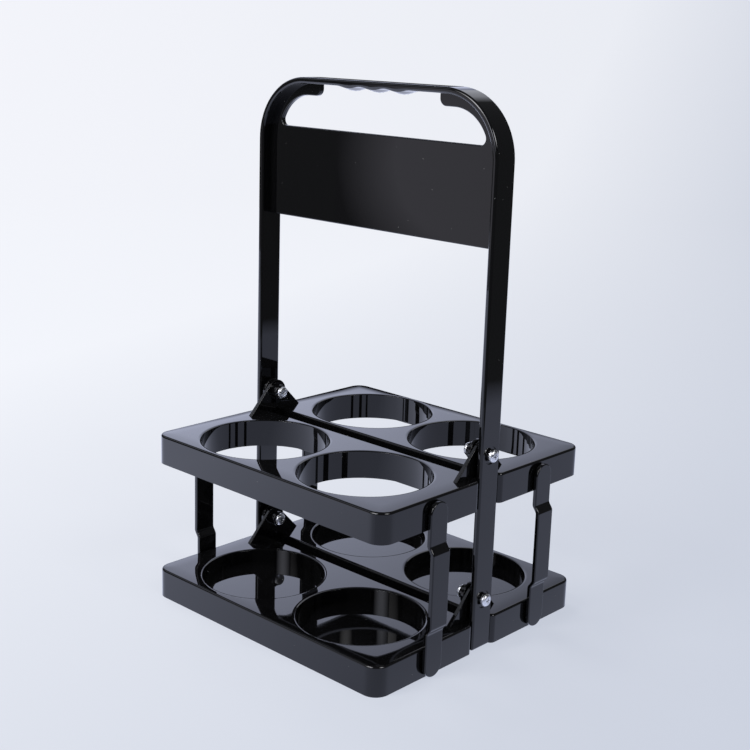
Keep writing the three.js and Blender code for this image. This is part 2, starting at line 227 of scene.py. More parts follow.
# Glowing cards that show only in the gloss: each stands up from a place and runs on in a direction
CARDS = {
    "back": {"place": (-1.5, 2.0), "turn": 0.0, "width": 2.7, "low": 0.46, "high": 2.0},
    "left": {"place": (-1.6, -0.2), "turn": 90.0, "width": 1.4, "low": 0.9, "high": 2.0},
    "side": {"place": (-1.15, -0.50), "turn": 90.0, "width": 0.47, "low": 0.0, "high": 0.45},
    "front": {"place": (-1.54, -0.31), "turn": -48.0, "width": 1.6, "low": 0.45, "high": 2.2},
    "low": {"place": (-1.0, -0.84), "turn": -48.0, "width": 0.74, "low": 0.25, "high": 1.05},
    "top": {"place": (0.1, 1.95), "turn": 0.0, "width": 2.4, "low": 1.15, "high": 3.2},
    "right": {"place": (0.60, -1.30), "turn": 45.0, "width": 1.0, "low": 0.6, "high": 1.6},
}

# Glow of the papers: colours at distances from a place, rising from nothing between two heights
AT_ONCE = (-2.0, -1.0)
GLOWS = {
    "floor": {"place": (-6.3, 4.1, 3.2), "rise": AT_ONCE, "colours": {
        6.0: (0.81, 0.82, 0.87, 1),
        7.55: (0.754, 0.773, 0.828, 1),
        8.45: (0.453, 0.492, 0.588, 1),
    }},
    "sheet": {"place": (-2.0, 1.6, 0.0), "rise": AT_ONCE, "colours": {
        2.25: (1.32, 1.41, 1.80, 1),
        2.7: (0.57, 0.62, 0.82, 1),
        3.08: (0.55, 0.59, 0.78, 1),
        3.16: ROOM_TONE,
    }},
    "back": {"place": (-0.6, 2.0, 0.4), "rise": (0.54, 0.64), "colours": {
        0.38: (1.45, 1.55, 2.0, 1),
        1.65: DARK,
    }},
    "left": {"place": (-1.6, 0.5, 1.4), "rise": (0.9, 1.1), "colours": {
        0.3: (0.75, 0.79, 0.92, 1),
        0.9: (0.25, 0.27, 0.33, 1),
    }},
    "side": {"place": (-1.15, -0.25, 0.2), "rise": AT_ONCE, "colours": {
        0.13: (0.70, 0.69, 0.80, 1),
        0.22: (0.08, 0.08, 0.09, 1),
    }},
    "front": {"place": (-1.03, -0.87, 1.3), "rise": AT_ONCE, "colours": {
        0.1: (13.0, 13.0, 13.5, 1),
        0.8: DARK,
    }},
    "low": {"place": (-0.77, -1.10, 0.68), "rise": AT_ONCE, "colours": {
        0.1: (6.8, 7.0, 8.0, 1),
        0.36: DARK,
    }},
    "top": {"place": (0.55, 1.95, 1.35), "rise": AT_ONCE, "colours": {
        0.45: (1.0, 1.03, 1.15, 1),
        1.05: ROOM_TONE,
    }},
    "right": {"place": (0.95, -0.95, 1.1), "rise": AT_ONCE, "colours": {
        0.15: (11.0, 11.0, 11.5, 1),
        0.45: DARK,
    }},
}

# Square lights that show in no gloss, with their power in watts
LIGHTS = {
    "back_left": {"place": (-1.0, 1.6, 2.2), "target": (-0.3, 0.6, 0), "side": 1.2, "power": 50.0},
    "front_left": {"place": (-1.05, -0.7, 1.3), "target": (0, 0, 0.1), "side": 0.8, "power": 44.0},
    "front_right": {"place": (0.9, -1.0, 1.45), "target": (0, 0, 0.1), "side": 0.6, "power": 24.0},
}


# Mesh helpers

def near(value, other):
    return abs(value - other) < NEAR


def start_path(bm, x, y, z):
    return [bmesh.ops.create_vert(bm, co=(x, y, z))["vert"][0]]


def line_to(bm, path, x, y, z):
    """Draws a straight edge from the path's last point."""
    made = bmesh.ops.extrude_vert_indiv(bm, verts=[path[-1]])
    made["verts"][0].co = (x, y, z)
    path.append(made["verts"][0])


def arc_about(bm, path, centre, axis, degrees, steps):
    """Turns the path's last point about an axis and draws the arc."""
    made = bmesh.ops.spin(bm, geom=[path[-1]], cent=centre, axis=axis,
                          angle=math.radians(degrees), steps=steps)
    path.append(made["geom_last"][0])


def fill_path(bm, path):
    """Closes a path and fills it with one face."""
    if (path[-1].co - path[0].co).length < NEAR:
        bmesh.ops.pointmerge(bm, verts=[path[-1], path[0]], merge_co=path[0].co)
    else:
        bm.edges.new((path[-1], path[0]))
    loose = [edge for edge in bm.edges if not edge.link_faces]
    return bmesh.ops.contextual_create(bm, geom=loose)["faces"]


def polygon(bm, corners):
    """A flat face on the corners given, for its corners to be rounded."""
    path = start_path(bm, *corners[0])
    for corner in corners[1:]:
        line_to(bm, path, *corner)
    fill_path(bm, path)


def round_corners(bm, radius, steps, test):
    verts = [vert for vert in bm.verts if test(vert.co)]
    bmesh.ops.bevel(bm, geom=verts, offset=radius, offset_type="OFFSET", segments=steps,
                    profile=0.5, affect="VERTICES", material=-1)


def thicken(bm, faces, way):
    """Extrudes flat faces into a closed solid."""
    made = bmesh.ops.extrude_face_region(bm, geom=faces, use_keep_orig=True)["geom"]
    verts = [item for item in made if isinstance(item, bmesh.types.BMVert)]
    bmesh.ops.translate(bm, verts=verts, vec=way)
    bmesh.ops.recalc_face_normals(bm, faces=bm.faces)


def middle(edge):
    return (edge.verts[0].co + edge.verts[1].co) / 2


def is_crease(edge):
    return edge.is_manifold and edge.calc_face_angle() > CREASE


def round_edges(bm, radius, steps, test):
    """Rounds the creases that pass the test."""
    edges = [edge for edge in bm.edges if is_crease(edge) and test(edge)]
    bmesh.ops.bevel(bm, geom=edges, offset=radius, offset_type="OFFSET", segments=steps, profile=0.5,
                    affect="EDGES", clamp_overlap=False, material=-1, face_strength_mode="AFFECTED")


def cut_across(bm, place, normal):
    geometry = bm.verts[:] + bm.edges[:] + bm.faces[:]
    bmesh.ops.bisect_plane(bm, geom=geometry, dist=CUT_NEAR, plane_co=place, plane_no=normal)


def upright_cylinder(bm, radius, low, high, x, y, steps):
    place = Matrix.Translation((x, y, (low + high) / 2))
    bmesh.ops.create_cone(bm, cap_ends=True, segments=steps, radius1=radius, radius2=radius,
                          depth=high - low, matrix=place)


def turned_about_x(profile):
    """Spins a profile of (along, radius) points about the X axis into a closed solid."""
    bm = bmesh.new()
    path = start_path(bm, profile[0][0], 0, profile[0][1])
    for along, radius in profile[1:]:
        line_to(bm, path, along, 0, radius)
    bmesh.ops.spin(bm, geom=bm.verts[:] + bm.edges[:], cent=(0, 0, 0), axis=(1, 0, 0),
                   angle=2 * math.pi, steps=SMALL_STEPS, use_merge=True)
    bmesh.ops.remove_doubles(bm, verts=bm.verts, dist=NEAR)
    bmesh.ops.recalc_face_normals(bm, faces=bm.faces)
    return bm


def scratch_mesh(bm):
    mesh = bpy.data.meshes.new("scratch")
    bm.to_mesh(mesh)
    bm.free()
    return mesh


def join_into(bm, other):
    """Moves another bmesh into this one as a shell of its own."""
    mesh = scratch_mesh(other)
    bm.from_mesh(mesh)
    bpy.data.meshes.remove(mesh)


def cut_away(bm, cutter):
    """Takes one closed shape out of another and returns what is left."""
    items = [bpy.data.objects.new("scratch", scratch_mesh(shape)) for shape in (bm, cutter)]
    for item in items:
        bpy.context.collection.objects.link(item)
    boolean = items[0].modifiers.new("cut", "BOOLEAN")
    boolean.operation = "DIFFERENCE"
    boolean.solver = "EXACT"
    boolean.object = items[1]
    graph = bpy.context.evaluated_depsgraph_get()
    cut_mesh = bpy.data.meshes.new_from_object(items[0].evaluated_get(graph))
    rest = bmesh.new()
    rest.from_mesh(cut_mesh)
    for mesh in [cut_mesh] + [item.data for item in items]:
        bpy.data.meshes.remove(mesh)
    return rest


def show(bm, name, body, material, node_name, matrix=Matrix.Identity(4)):
    """Puts a finished shape in the scene in place of its plain node."""
    bmesh.ops.transform(bm, verts=bm.verts, matrix=matrix)
    bmesh.ops.scale(bm, verts=bm.verts, vec=(MM, MM, MM))
    if matrix.determinant() < 0:
        bmesh.ops.reverse_faces(bm, faces=bm.faces)
    for face in bm.faces:
        face.smooth = True
    for edge in bm.edges:
        edge.smooth = not is_crease(edge)
    mesh = scratch_mesh(bm)
    mesh.name = name
    mesh.materials.clear()
    mesh.materials.append(material)
    piece = bpy.data.objects.new(name, mesh)
    bpy.context.collection.objects.link(piece)
    normals = piece.modifiers.new("even_shading", "WEIGHTED_NORMAL")
    normals.keep_sharp = True
    normals.use_face_influence = True
    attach(piece, body)
    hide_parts(node_name)


# Handle frame

def strap():
    bm = bmesh.new()
    y = -STRAP_DEPTH / 2
    polygon(bm, [
        (-LEG_OUTER, y, FOOT_HEIGHT),
        (-LEG_INNER, y, FOOT_HEIGHT),
        (-LEG_INNER, y, BAR_UNDERSIDE),
        (LEG_INNER, y, BAR_UNDERSIDE),
        (LEG_INNER, y, FOOT_HEIGHT),
        (LEG_OUTER, y, FOOT_HEIGHT),
        (LEG_OUTER, y, FRAME_HEIGHT),
        (-LEG_OUTER, y, FRAME_HEIGHT),
    ])
    round_corners(bm, BEND_RADIUS, BEND_STEPS, lambda co: near(co.z, FRAME_HEIGHT))
    round_corners(bm, BEND_RADIUS - STRAP_THICKNESS, BEND_STEPS, lambda co: near(co.z, BAR_UNDERSIDE))
    thicken(bm, bm.faces[:], (0, STRAP_DEPTH, 0))
    round_edges(bm, STRAP_EDGE, EDGE_STEPS, lambda edge: True)
    finger_bumps(bm)
    return bm


def finger_bumps(bm):
    """Lets the bar's underside swell between the fingers, most in the middle of its depth."""
    half = BUMP_COUNT * BUMP_PITCH / 2
    flat = STRAP_DEPTH / 2 - STRAP_EDGE
    for step in range(BUMP_COUNT * BUMP_STEPS + 1):
        cut_across(bm, (step * BUMP_PITCH / BUMP_STEPS - half, 0, 0), (1, 0, 0))
    for slice_number in range(1, BUMP_SLICES):
        cut_across(bm, (0, flat * (2 * slice_number / BUMP_SLICES - 1), 0), (0, 1, 0))
    for vert in bm.verts:
        above = vert.co.z - BAR_UNDERSIDE
        if abs(vert.co.x) < half and -NEAR < above < STRAP_EDGE + NEAR:
            wave = (1 + math.cos(2 * math.pi * (vert.co.x / BUMP_PITCH))) / 2
            across = max(0.0, 1 - (vert.co.y / flat) ** 2)
            drop = BUMP_EDGE_DROP + (BUMP_DROP - BUMP_EDGE_DROP) * across
            vert.co.z -= wave * drop * (1 - above / STRAP_EDGE)


def web():
    """The panel, with the hand opening cut out of it and a gusset at each end of the grip."""
    bm = bmesh.new()
    y = -WEB_THICKNESS / 2
    leg_middle = LEG_OUTER - STRAP_THICKNESS / 2
    gusset_edge = BAR_UNDERSIDE - GUSSET_DROP
    arc_x = LEG_INNER - OPENING_MARGIN - OPENING_RADIUS
    arc_z = gusset_edge - OPENING_RADIUS
    fillet_z = PANEL_TOP + PANEL_CORNER
    reach = OPENING_RADIUS - PANEL_CORNER
    lift = fillet_z - arc_z
    fillet_x = arc_x + math.sqrt(reach ** 2 - lift ** 2)
    lift_angle = math.degrees(math.asin(lift / reach))
    end_x = GRIP_LENGTH / 2 + GUSSET_END
    bend_x = LEG_OUTER - BEND_RADIUS
    bend_z = FRAME_HEIGHT - BEND_RADIUS
    across = (0, 1, 0)
    path = start_path(bm, 0, y, PANEL_TOP)
    line_to(bm, path, fillet_x, y, PANEL_TOP)
    arc_about(bm, path, (fillet_x, y, fillet_z), across, -(90 + lift_angle), CORNER_STEPS)
    arc_about(bm, path, (arc_x, y, arc_z), across, -(90 - lift_angle), BEND_STEPS)
    line_to(bm, path, end_x, y, gusset_edge)
    arc_about(bm, path, (end_x, y, gusset_edge + GUSSET_END), across, 90, CORNER_STEPS)
    line_to(bm, path, GRIP_LENGTH / 2, y, BAR_MIDDLE)
    line_to(bm, path, bend_x, y, BAR_MIDDLE)
    arc_about(bm, path, (bend_x, y, bend_z), across, 90, BEND_STEPS)
    line_to(bm, path, leg_middle, y, PANEL_BOTTOM)
    line_to(bm, path, 0, y, PANEL_BOTTOM)
    bmesh.ops.mirror(bm, geom=bm.verts[:] + bm.edges[:], axis="X", merge_dist=NEAR)
    bmesh.ops.remove_doubles(bm, verts=bm.verts, dist=NEAR)
    faces = bmesh.ops.contextual_create(bm, geom=bm.edges[:])["faces"]
    thicken(bm, faces, (0, WEB_THICKNESS, 0))

    def shows(edge):
        place = middle(edge)
        is_inside = abs(place.x) < LEG_INNER and place.z < BAR_UNDERSIDE + CUT_MARGIN
        return is_inside and near(abs(place.y), -y)

    round_edges(bm, WEB_EDGE, EDGE_STEPS, shows)
    return bm


def counterbores():
    """Cutters for the screw heads' seats in the legs, each flared a little at its mouth."""
    bm = bmesh.new()
    seat = LEG_OUTER - COUNTERBORE_DEPTH
    mouth = LEG_OUTER + COUNTERBORE_LIP
    flare = COUNTERBORE_RADIUS + 2 * COUNTERBORE_LIP
    profile = [(seat, 0), (seat, COUNTERBORE_RADIUS), (LEG_OUTER - COUNTERBORE_LIP, COUNTERBORE_RADIUS),
               (mouth, flare), (mouth, 0)]
    for level in LEVELS.values():
        for end in ENDS.values():
            cutter = turned_about_x(profile)
            bmesh.ops.scale(cutter, verts=cutter.verts, vec=(end, 1, 1))
            bmesh.ops.translate(cutter, verts=cutter.verts, vec=(0, 0, level + PIN_ABOVE_TRAY))
            bmesh.ops.recalc_face_normals(cutter, faces=cutter.faces)
            join_into(bm, cutter)
    return bm


# Trays: one moulding, made as a rear tray with its bottom at Z = 0; a front tray is the
# same moulding turned half round

def tray_outline(bm, inset, z):
    """Draws the tray's outline as one flat face, moved in by a wall's thickness."""
    end, outer, inner = TRAY_END - inset, TRAY_OUTER - inset, TRAY_INNER + inset
    notch_x = LEG_INNER - LEG_CLEARANCE - inset
    notch_y = STRAP_DEPTH / 2 + LEG_CLEARANCE + inset
    right = [(notch_x, inner), (notch_x, notch_y), (end, notch_y), (end, outer)]
    left = [(-x, y) for x, y in reversed(right)]
    polygon(bm, [(x, y, z) for x, y in right + left])
    round_corners(bm, TRAY_CORNER - inset, CORNER_STEPS, lambda co: near(co.y, outer))
    round_corners(bm, NOTCH_CORNER - inset, CORNER_STEPS,
                  lambda co: near(abs(co.x), end) and near(co.y, notch_y))


def tray_body(radius):
    """The tray as a full block with its two holes, rounded along its top edges."""
    bm = bmesh.new()
    tray_outline(bm, 0, 0)
    bmesh.ops.delete(bm, geom=bm.faces[:], context="FACES_ONLY")
    for x in (-HOLE_X, HOLE_X):
        place = Matrix.Translation((x, TRAY_MIDDLE, 0))
        bmesh.ops.create_circle(bm, segments=HOLE_STEPS, radius=radius, matrix=place)
    bmesh.ops.triangle_fill(bm, edges=bm.edges[:], use_beauty=True, normal=(0, 0, 1))
    thicken(bm, bm.faces[:], (0, 0, TRAY_HEIGHT))

    def on_top(edge):
        return min(vert.co.z for vert in edge.verts) > TRAY_HEIGHT - NEAR

    def on_hole(edge):
        place = middle(edge)
        return math.hypot(abs(place.x) - HOLE_X, place.y - TRAY_MIDDLE) < radius + NEAR

    round_edges(bm, TRAY_EDGE, TOP_EDGE_STEPS, lambda edge: on_top(edge) and not on_hole(edge))
    round_edges(bm, RIM_REACH, TOP_EDGE_STEPS, lambda edge: on_top(edge) and on_hole(edge))
    flatten_rims(bm, radius)
    crown_top(bm)
    return bm


def flatten_rims(bm, radius):
    """Presses the holes' rounded rims flat, so that the top dips gently into the holes."""
    for vert in bm.verts:
        away = math.hypot(abs(vert.co.x) - HOLE_X, vert.co.y - TRAY_MIDDLE)
        fall = TRAY_HEIGHT - vert.co.z
        if away < radius + RIM_REACH + NEAR and fall < RIM_REACH + NEAR:
            vert.co.z = TRAY_HEIGHT - fall * RIM_DROP / RIM_REACH


def crown_top(bm):
    """Lets the top fall away a little towards the tray's outer edges, as a moulding's does."""
    for step in range(1, CROWN_STEPS + 1):
        inset = CROWN_WIDTH * step / CROWN_STEPS
        cut_across(bm, (0, TRAY_OUTER - inset, 0), (0, 1, 0))
        for end in ENDS.values():
            cut_across(bm, (end * (TRAY_END - inset), 0, 0), (1, 0, 0))
    for vert in bm.verts:
        if vert.co.z > TRAY_HEIGHT / 2:
            inset = min(TRAY_OUTER - vert.co.y, TRAY_END - abs(vert.co.x))
            vert.co.z -= CROWN_DROP * max(0.0, 1 - inset / CROWN_WIDTH) ** 2


def tray_hollow(radius):
    """The space under the tray's top, round the sleeves of its two holes."""
    bm = bmesh.new()
    tray_outline(bm, TRAY_WALL, -CUT_MARGIN)
    thicken(bm, bm.faces[:], (0, 0, TRAY_HEIGHT - TRAY_TOP + CUT_MARGIN))
    sleeves = bmesh.new()
    for x in (-HOLE_X, HOLE_X):
        upright_cylinder(sleeves, radius + SLEEVE_WALL, SLEEVE_RISE, TRAY_HEIGHT,
                         x, TRAY_MIDDLE, HOLE_STEPS)
    return cut_away(bm, sleeves)


def peg_holes():
    bm = bmesh.new()
    for end in ENDS.values():
        inside, outside = TRAY_END - TRAY_WALL - CUT_MARGIN, TRAY_END + CUT_MARGIN
        hole = turned_about_x([(inside, 0), (inside, PEG_HOLE), (outside, PEG_HOLE), (outside, 0)])
        bmesh.ops.scale(hole, verts=hole.verts, vec=(end, 1, 1))
        bmesh.ops.translate(hole, verts=hole.verts, vec=(0, TRAY_MIDDLE, PEG_HEIGHT))
        bmesh.ops.recalc_face_normals(hole, faces=hole.faces)
        join_into(bm, hole)
    return bm


def tray(radius, has_floor):
    bm = cut_away(cut_away(tray_body(radius), tray_hollow(radius)), peg_holes())
    if has_floor:
        for x in (-HOLE_X, HOLE_X):
            upright_cylinder(bm, radius + FLOOR_EMBED, CUP_FLOOR - FLOOR_THICKNESS, CUP_FLOOR,
                             x, TRAY_MIDDLE, HOLE_STEPS)
    join_into(bm, lug(1, INNER_LUG, INNER_LUG - LUG_THICKNESS, INNER_BOSS_END))
    join_into(bm, lug(-1, OUTER_LUG, OUTER_LUG, OUTER_BOSS_END))
    return bm


def lug(end, face, boss_seat, boss_end):
    """A hinge plate on the tray's inner edge, thinner upwards, with its pin hole and round boss."""
    bm = bmesh.new()
    foot = TRAY_HEIGHT - LUG_EMBED
    drop = PIN_HEIGHT + TRAY_TOP
    root_reach = math.hypot(LUG_ROOT, PIN_HEIGHT)
    edge_reach = math.hypot(TRAY_INNER, drop)
    root_angle = math.atan2(-PIN_HEIGHT, LUG_ROOT) + math.acos(LUG_RADIUS / root_reach)
    edge_angle = math.atan2(-drop, TRAY_INNER) - math.acos(LUG_RADIUS / edge_reach)
    sweep = math.degrees(edge_angle + 2 * math.pi - root_angle)
    pin = (0, 0, PIN_ABOVE_TRAY)
    start_y = LUG_RADIUS * math.cos(root_angle)
    start_z = PIN_ABOVE_TRAY + LUG_RADIUS * math.sin(root_angle)
    path = start_path(bm, 0, start_y, start_z)
    arc_about(bm, path, pin, (1, 0, 0), sweep, BEND_STEPS)
    line_to(bm, path, 0, TRAY_INNER + LUG_EDGE, foot)
    line_to(bm, path, 0, LUG_ROOT, foot)
    line_to(bm, path, 0, LUG_ROOT, TRAY_HEIGHT)
    bm.edges.new((path[-1], path[0]))
    turn = Matrix.Translation(pin) @ Matrix.Rotation(math.pi / 2, 4, "Y")
    bmesh.ops.create_circle(bm, segments=SMALL_STEPS, radius=BARREL_HOLE, matrix=turn)
    bmesh.ops.triangle_fill(bm, edges=bm.edges[:], use_beauty=True, normal=(1, 0, 0))
    thicken(bm, bm.faces[:], (-LUG_THICKNESS, 0, 0))

    def is_outline(edge):
        place = middle(edge)
        along = abs(edge.verts[0].co.x - edge.verts[1].co.x)
        return along < NEAR and math.hypot(place.y, place.z - PIN_ABOVE_TRAY) > BARREL_HOLE + NEAR

    round_edges(bm, LUG_EDGE, EDGE_STEPS, is_outline)
    for vert in bm.verts:
        share = (vert.co.z - foot) / (PIN_HEIGHT + LUG_RADIUS)
        vert.co.x -= LUG_DRAFT * share * vert.co.x / LUG_THICKNESS
    bmesh.ops.translate(bm, verts=bm.verts, vec=(face, 0, 0))
    join_into(bm, boss(boss_seat, boss_end))
    bmesh.ops.scale(bm, verts=bm.verts, vec=(end, 1, 1))
    bmesh.ops.recalc_face_normals(bm, faces=bm.faces)
    return bm


def boss(seat, end):
    """The round collar on a lug's face."""
    way = math.copysign(LUG_EDGE, end - seat)
    root = seat - 2 * way
    bm = turned_about_x([(root, BARREL_HOLE), (root, BOSS_RADIUS), (end - way, BOSS_RADIUS),
                         (end, BOSS_RADIUS - LUG_EDGE), (end, BARREL_HOLE), (root, BARREL_HOLE)])
    bmesh.ops.translate(bm, verts=bm.verts, vec=(0, 0, PIN_ABOVE_TRAY))
    return bm


# Links, made with the lower peg's axis as origin and the outside towards +X

def jog(z):
    """How far a link's middle stands out at a height above its lower peg."""
    rise = min(z, LEVEL_SPACING - z)
    share = min(1.0, max(0.0, (rise - LINK_END) / LINK_JOG))
    return LINK_OFFSET * share * share * (3 - 2 * share)


def link():
    bm = bmesh.new()
    half = LINK_WIDTH / 2
    path = start_path(bm, LINK_GAP, half, -LINK_TAIL)
    line_to(bm, path, LINK_GAP, half, LEVEL_SPACING)
    arc_about(bm, path, (LINK_GAP, 0, LEVEL_SPACING), (1, 0, 0), 180, BEND_STEPS)
    line_to(bm, path, LINK_GAP, -half, -LINK_TAIL)
    arc_about(bm, path, (LINK_GAP, 0, -LINK_TAIL), (1, 0, 0), 180, BEND_STEPS)
    thicken(bm, fill_path(bm, path), (LINK_THICKNESS, 0, 0))
    round_edges(bm, LINK_EDGE, EDGE_STEPS, lambda edge: True)
    for step in range(CORNER_STEPS + 1):
        rise = LINK_END + LINK_JOG * step / CORNER_STEPS
        cut_across(bm, (0, 0, rise), (0, 0, 1))
        cut_across(bm, (0, 0, LEVEL_SPACING - rise), (0, 0, 1))
    for vert in bm.verts:
        vert.co.x += jog(vert.co.z)
    for z in (0, LEVEL_SPACING):
        join_into(bm, peg(z))
    return bm


def peg(z):
    """The slotted, barbed peg that holds a link in a tray's end wall."""
    root = LINK_GAP + LINK_THICKNESS / 2
    barb = -TRAY_WALL - LINK_GAP
    tip = barb - BARB_LENGTH
    stem = turned_about_x([(root, 0), (root, PEG_RADIUS), (barb, PEG_RADIUS), (barb, BARB_RADIUS),
                           (barb - LINK_GAP, BARB_RADIUS), (tip, BARB_TIP), (tip, 0)])
    slot = bmesh.new()
    bmesh.ops.create_cube(slot, size=1)
    bmesh.ops.scale(slot, verts=slot.verts, vec=(-2 * tip, PEG_SLOT, 2 * BARB_RADIUS + CUT_MARGIN))
    bmesh.ops.translate(slot, verts=slot.verts, vec=(tip, 0, 0))
    bm = cut_away(stem, slot)
    bmesh.ops.translate(bm, verts=bm.verts, vec=(0, 0, z))
    return bm


# Pivot screws

def pan_head(seat, height, way):
    """Profile points of a domed head from its seat to its crown."""
    points = [(seat, HEAD_RADIUS - HEAD_CHAMFER), (seat + way * HEAD_CHAMFER, HEAD_RADIUS)]
    for step in range(CORNER_STEPS):
        angle = math.pi / 2 * step / CORNER_STEPS
        rise = HEAD_RIM + (height - HEAD_RIM) * math.sin(angle)
        points.append((seat + way * rise, HEAD_RADIUS * math.cos(angle) ** HEAD_ROUNDNESS))
    return points + [(seat + way * height, 0)]


def cross_cutter(crown, way):
    """A tapered cross for the driver's recess."""
    bm = bmesh.new()
    half, arm = RECESS_WIDTH / 2, RECESS_LENGTH / 2
    corners = [(arm, -half), (arm, half), (half, half)]
    outline = []
    for quarter in range(4):
        outline += corners
        corners = [(-z, y) for y, z in corners]
    polygon(bm, [(crown + way * RECESS_DEPTH, y, z) for y, z in outline])
    thicken(bm, bm.faces[:], (-2 * way * RECESS_DEPTH, 0, 0))
    bottom = [vert for vert in bm.verts if way * (vert.co.x - crown) < 0]
    bmesh.ops.scale(bm, verts=bottom, vec=(1, RECESS_TAPER, RECESS_TAPER))
    return bm


def pivot(kind):
    """A post whose head is outside the leg, or the screw that goes into it from the inside."""
    if kind == "post":
        seat, way, radius = POST_SEAT, 1, BARREL_RADIUS
    else:
        seat, way, radius = SCREW_SEAT, -1, SHANK_RADIUS
    body = turned_about_x([(BARREL_END, 0), (BARREL_END, radius), (seat, radius)]
                          + pan_head(seat, HEAD_HEIGHT[kind], way))
    return cut_away(body, cross_cutter(seat + way * HEAD_HEIGHT[kind], way))


# Materials

def new_material(name):
    material = bpy.data.materials.new(name)
    material.use_nodes = True
    tree = material.node_tree
    return material, tree, tree.nodes["Principled BSDF"]


def node(tree, kind, **values):
    made = tree.nodes.new(kind)
    for key, value in values.items():
        if key in made.inputs:
            made.inputs[key].default_value = value
        else:
            setattr(made, key, value)
    return made


def map_range(tree, source, low, high, to_low, to_high):
    made = node(tree, "ShaderNodeMapRange")
    for name, value in (("From Min", low), ("From Max", high), ("To Min", to_low), ("To Max", to_high)):
        made.inputs[name].default_value = value
    tree.links.new(source, made.inputs["Value"])
    return made.outputs["Result"]


def noise(tree, place, scale, detail):
    made = node(tree, "ShaderNodeTexNoise", Scale=scale, Detail=detail)
    tree.links.new(place, made.inputs["Vector"])
    return made.outputs["Fac"]


def dust(tree, place):
    """A mask of sparse specks, each well under a millimetre."""
    specks = node(tree, "ShaderNodeTexVoronoi", Scale=DUST_DENSITY)
    tree.links.new(place, specks.inputs["Vector"])
    return map_range(tree, specks.outputs["Distance"], *DUST_SIZE, 1.0, 0.0)


def gloss_black():
    """Moulded gloss black: a faint ripple in the mirror, handling smears and a trace of dust."""
    material, tree, shader = new_material("gloss_black_plastic")
    place = node(tree, "ShaderNodeTexCoord").outputs["Object"]
    shader.inputs["IOR"].default_value = PLASTIC_IOR
    specks = dust(tree, place)
    tint = node(tree, "ShaderNodeMix", data_type="RGBA")
    tint.inputs["A"].default_value = PLASTIC_BLACK
    tint.inputs["B"].default_value = DUST_GREY
    tree.links.new(specks, tint.inputs["Factor"])
    tree.links.new(tint.outputs["Result"], shader.inputs["Base Color"])
    clouds = noise(tree, place, SMEAR_SCALE, SMEAR_DETAIL)
    smear = map_range(tree, clouds, *SMEAR_RANGE, *GLOSS_ROUGHNESS)
    dull = node(tree, "ShaderNodeMath", operation="MAXIMUM")
    tree.links.new(smear, dull.inputs[0])
    tree.links.new(map_range(tree, specks, 0.0, 1.0, 0.0, DUST_ROUGHNESS), dull.inputs[1])
    tree.links.new(dull.outputs["Value"], shader.inputs["Roughness"])
    bump = node(tree, "ShaderNodeBump", Strength=RIPPLE_STRENGTH, Distance=RIPPLE_DEPTH)
    tree.links.new(noise(tree, place, RIPPLE_SCALE, RIPPLE_DETAIL), bump.inputs["Height"])
    tree.links.new(bump.outputs["Normal"], shader.inputs["Normal"])
    return material


def plated_metal():
    """Bright plating with fine grain."""
    material, tree, shader = new_material("bright_plating")
    place = node(tree, "ShaderNodeTexCoord").outputs["Object"]
    shader.inputs["Base Color"].default_value = PLATING
    shader.inputs["Metallic"].default_value = 1.0
    grain = noise(tree, place, GRAIN_SCALE, GRAIN_DETAIL)
    tree.links.new(map_range(tree, grain, 0.0, 1.0, *PLATING_ROUGHNESS), shader.inputs["Roughness"])
    return material


BLACK = gloss_black()
METAL = plated_metal()


# The carrier, put together

def half_turn(way):
    """A half turn about the upright axis for the front and left, and none for the rear and right."""
    return Matrix.Rotation(math.pi if way < 0 else 0, 4, "Z")


def build_frame():
    bm = cut_away(strap(), counterbores())
    join_into(bm, web())
    show(bm, "handle_frame_moulding", "frame", BLACK, "handle_frame")


def build_trays():
    for level_name, level in LEVELS.items():
        is_lower = level_name == "lower"
        for side_name, side in SIDES.items():
            tray_node = f"{level_name}_tray_{side_name}"
            place = Matrix.Translation((0, 0, level)) @ half_turn(side)
            bm = tray(CUP_RADIUS if is_lower else RING_RADIUS, is_lower)
            show(bm, f"{tray_node}_moulding", tray_node, BLACK, tray_node, place)


def build_links():
    for side_name, side in SIDES.items():
        for end_name, end in ENDS.items():
            link_node = f"link_{side_name}_{end_name}"
            place = Matrix.Translation((end * TRAY_END, side * TRAY_MIDDLE, PEG_HEIGHT)) @ half_turn(end)
            show(link(), f"{link_node}_moulding", link_node, BLACK, link_node, place)


def build_pivots():
    for level_name, level in LEVELS.items():
        for end_name, end in ENDS.items():
            place = Matrix.Translation((0, 0, level + PIN_ABOVE_TRAY)) @ half_turn(end)
            for kind in HEAD_HEIGHT:
                pivot_node = f"pivot_{kind}_{level_name}_{end_name}"
                name = f"{pivot_node}_turned"
                show(pivot(kind), name, "frame", METAL, pivot_node, place)


build_frame()
build_trays()
build_links()
build_pivots()


# Studio and camera

CAMERA_TURN = Matrix.Rotation(math.radians(CAMERA_YAW), 3, "Z")


def turned_place(across, along, height):
    return CAMERA_TURN @ Vector((across, along, height))


def stage_piece(bm, name, material, **sight):
    """Puts a floor or card in the scene, hidden from the kinds of light path set to False."""
    bmesh.ops.recalc_face_normals(bm, faces=bm.faces)
    for face in bm.faces:
        face.smooth = True
    mesh = scratch_mesh(bm)
    mesh.materials.append(material)
    piece = bpy.data.objects.new(name, mesh)
    bpy.context.collection.objects.link(piece)
    for key, value in sight.items():
        setattr(piece, key, value)


